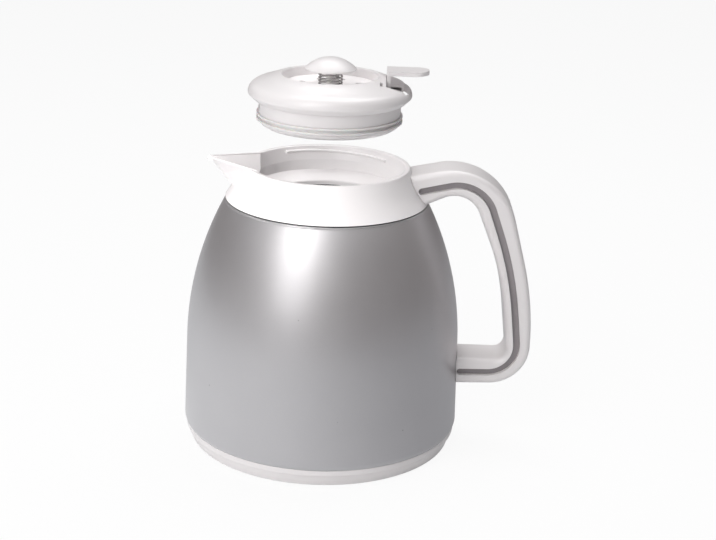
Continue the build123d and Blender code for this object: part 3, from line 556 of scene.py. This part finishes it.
def silicone():
    """Pale silicone that light enters by about SILICONE_DEPTH metres."""
    depth = {"Subsurface_Weight": 0.12, "Subsurface_Scale": SILICONE_DEPTH}
    soft = Finish("gasket_silicone", IOR=1.41, **depth)
    grain = soft.noise(SILICONE_GRAIN, 2.0)
    cloud = soft.noise(SILICONE_CLOUDS, 2.0)
    soft.feed("Base Color", soft.blend(cloud + MIDDLE, *SILICONE_PALES))
    soft.feed("Roughness", grain * 0.1 + SILICONE_ROUGHNESS)
    soft.relief(grain, SILICONE_RELIEF)
    return soft.material


FINISHES["gasket_silicone"] = silicone()
print("silicone: subsurface over", SILICONE_DEPTH * 1000, "mm")

# %% [markdown]
# Dark rubber makes the seals that touch the flask and the foot that the carafe stands on.
# Old rubber blooms: a pale, cloudy film comes to its surface, and it changes both colour
# and gloss, so one noise drives the two. The seal is blacker than the foot.

# %% Dark rubber
RUBBER_GRAIN, BLOOM = 2200.0, 45.0
RUBBER_ROUGHNESS, RUBBER_RELIEF = 0.62, 0.00004
SEAL_LEVEL, FOOT_LEVEL = 0.018, 0.035


def dark_rubber(name, level):
    """Rubber about one dark level, which a cloudy bloom lightens and dulls."""
    rubber = Finish(name, IOR=1.5)
    grain = rubber.noise(RUBBER_GRAIN, 3.0)
    bloom = rubber.noise(BLOOM, 3.0)
    tones = (grey(level * 0.8), grey(level * 1.3, 0.01))
    rubber.feed("Base Color", rubber.blend(bloom * 1.2 + MIDDLE, *tones))
    rubber.feed("Roughness", grain * 0.14 + bloom * 0.1 + RUBBER_ROUGHNESS)
    rubber.relief(grain, RUBBER_RELIEF)
    return rubber.material


FINISHES["seal_black"] = dark_rubber("seal_rubber", SEAL_LEVEL)
FINISHES["foot_rubber"] = dark_rubber("foot_rubber", FOOT_LEVEL)
print("dark rubber: seals", SEAL_LEVEL, "foot", FOOT_LEVEL)

# %% [markdown]
# The spring, the lever's pin, the screws and the plate are drawn steel. Drawing leaves lines
# along the metal, which are a noise stretched along the height. An anisotropic shader
# would smear the highlight too, but on wire this thin the lines alone read the same.

# %% Drawn steel
DRAWN_LINES, STAINS = 900.0, 140.0
LINE_STRETCH = (1.0, 1.0, 0.12)
STEEL_GREYS = (grey(0.36, 0.01), grey(0.56, 0.01))
STEEL_ROUGHNESS, STEEL_RELIEF = 0.22, 0.00002


def drawn_steel():
    """Steel between two greys, with long thin lines in its gloss and height."""
    steel = Finish("drawn_steel", Metallic=1.0)
    lines = steel.noise(DRAWN_LINES, 2.0, steel.stretched(LINE_STRETCH))
    stain = steel.noise(STAINS, 3.0)
    steel.feed("Base Color", steel.blend(stain + MIDDLE, *STEEL_GREYS))
    steel.feed("Roughness", lines * 0.18 + STEEL_ROUGHNESS)
    steel.relief(lines, STEEL_RELIEF)
    return steel.material


FINISHES["steel"] = drawn_steel()
print("drawn steel: lines of", millimetres(DRAWN_LINES), "mm")

# %% [markdown]
# The spring under the cap has to shorten when the lever is pressed, and a plain solid
# can't, so it is made again here. A spring's wire is a tube carried along a helix. The first
# and last turns lie almost flat, as they do on a real spring with closed ends, so the
# height rises slowly there and evenly in between. A curve with a bevel could do this too, but
# a surface of two parameters, along the wire and round it, gives every point at once.

# %% Spring wire
SPRING_TURNS = 5.5
SPRING_RADIUS = 0.0061
WIRE_RADIUS = 0.0005
END_GAP = 0.00005
CLOSED_TURNS = 0.8
STEPS_PER_TURN = 48
STEPS_ROUND = 12


def spring_height(turn, low, high):
    """Height of the wire's middle at each turn: it rises by one thickness of the wire over
    the closed turns at either end, and by all the rest, evenly, between them."""
    first = np.clip(turn / CLOSED_TURNS, 0.0, 1.0)
    last = np.clip((turn - SPRING_TURNS + CLOSED_TURNS) / CLOSED_TURNS, 0.0, 1.0)
    between = np.clip((turn - CLOSED_TURNS) / (SPRING_TURNS - 2 * CLOSED_TURNS), 0.0, 1.0)
    lay = 2 * WIRE_RADIUS * (first + last)
    return low + lay + (high - low - 4 * WIRE_RADIUS) * between


def tube(path, radius, steps_round):
    """A closed tube: at each point of the path a circle stands square to the way it runs.
    The circle's points are path + radius * (cos(a) * outward + sin(a) * upright), where
    outward points away from the height axis and upright is square to it and to the path."""
    along = np.gradient(path, axis=0)
    along /= np.linalg.norm(along, axis=1, keepdims=True)
    outward = path * (1.0, 1.0, 0.0)
    outward -= along * np.sum(outward * along, axis=1, keepdims=True)
    outward /= np.linalg.norm(outward, axis=1, keepdims=True)
    upright = np.cross(along, outward)
    angle = np.linspace(0.0, 2 * np.pi, steps_round, endpoint=False)[:, None]
    circle = np.cos(angle) * outward[:, None] + np.sin(angle) * upright[:, None]
    points = (path[:, None] + radius * circle).reshape(-1, 3)
    row, column = np.meshgrid(np.arange(len(path) - 1), np.arange(steps_round), indexing="ij")
    here = row * steps_round + column
    beside = row * steps_round + (column + 1) % steps_round
    sides = np.stack([here, beside, beside + steps_round, here + steps_round], axis=-1)
    last = np.arange(steps_round) + len(points) - steps_round
    ends = [list(range(steps_round))[::-1], last.tolist()]
    return points, sides.reshape(-1, 4).tolist() + ends


# %% Spring under the cap
def spring_piece():
    """The spring between the dish and the cap, in the space that its CAD node holds."""
    low, high = (corner[2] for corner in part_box("valve_spring"))
    low, high = low + END_GAP, high - END_GAP
    turn = np.linspace(0.0, SPRING_TURNS, int(SPRING_TURNS * STEPS_PER_TURN) + 1)
    height = spring_height(turn, low + WIRE_RADIUS, high - WIRE_RADIUS)
    around = 2 * np.pi * turn
    circle = [SPRING_RADIUS * np.cos(around), SPRING_RADIUS * np.sin(around), height]
    points, faces = tube(np.stack(circle, axis=1), WIRE_RADIUS, STEPS_ROUND)
    mesh = bpy.data.meshes.new("cap_spring")
    mesh.from_pydata(points.tolist(), [], faces)
    mesh.polygons.foreach_set("use_smooth", [len(face) == 4 for face in faces])
    mesh.materials.append(FINISHES["steel"])
    spring = bpy.data.objects.new("cap_spring", mesh)
    bpy.context.scene.collection.objects.link(spring)
    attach(spring, "lid")
    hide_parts("valve_spring")
    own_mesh(spring)


spring_piece()

# %% [markdown]
# Each CAD node names the material slot that it belongs to. The finish is put into the
# material slots of the node's object, so that its mesh stays as it is.

# %% Give every node its finish
slot_of = {part["node"]: part["material_slot"] for part in frame["record"]["subparts"]}
for name, node in frame["nodes"].items():
    for place in node.material_slots:
        place.material = FINISHES[slot_of[name]]
print("finished nodes", len(slot_of))

# %% [markdown]
# A finish and a few fine pieces may not make the carafe any larger than it is.

# %% End
print("scene ready")
